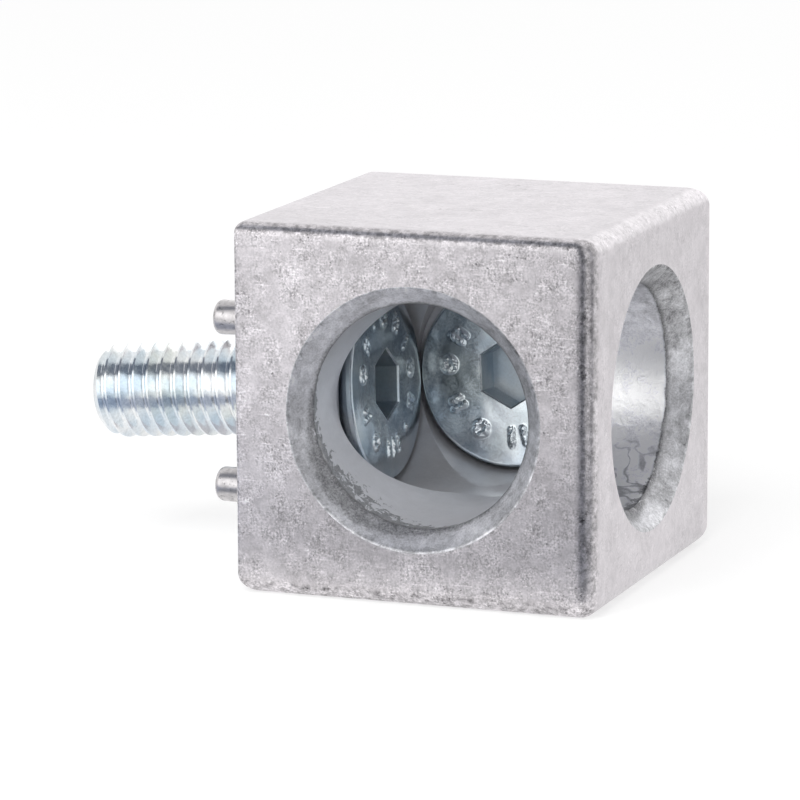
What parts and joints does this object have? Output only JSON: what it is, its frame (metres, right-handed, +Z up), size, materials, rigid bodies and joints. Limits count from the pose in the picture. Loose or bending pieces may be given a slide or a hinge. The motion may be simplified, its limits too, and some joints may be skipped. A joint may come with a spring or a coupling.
{
  "type": "cube corner connector",
  "caption": "Cast aluminium cube that joins slotted profiles at a right angle, with countersunk socket screws in wide access bores and key pins for the slots.",
  "frame": {"origin": "centre of the closed base face, which it rests on", "axes": "-X (left) and +Y (back) are the faces that meet the profiles, with the screws and the key pins; +X (right) and -Y (front) are the open faces with the access bores; +Z up, through the closed top"},
  "size_m": [0.048, 0.048, 0.03],
  "materials": {
    "cast_aluminium": "die cast, tumbled, left bare",
    "zinc_plated_steel": "bright zinc plate with a blue passivation"
  },
  "bodies": {
    "root": {"cube_casting": "cast_aluminium", "left_screw": "zinc_plated_steel", "back_screw": "zinc_plated_steel"}
  },
  "joints": []
}
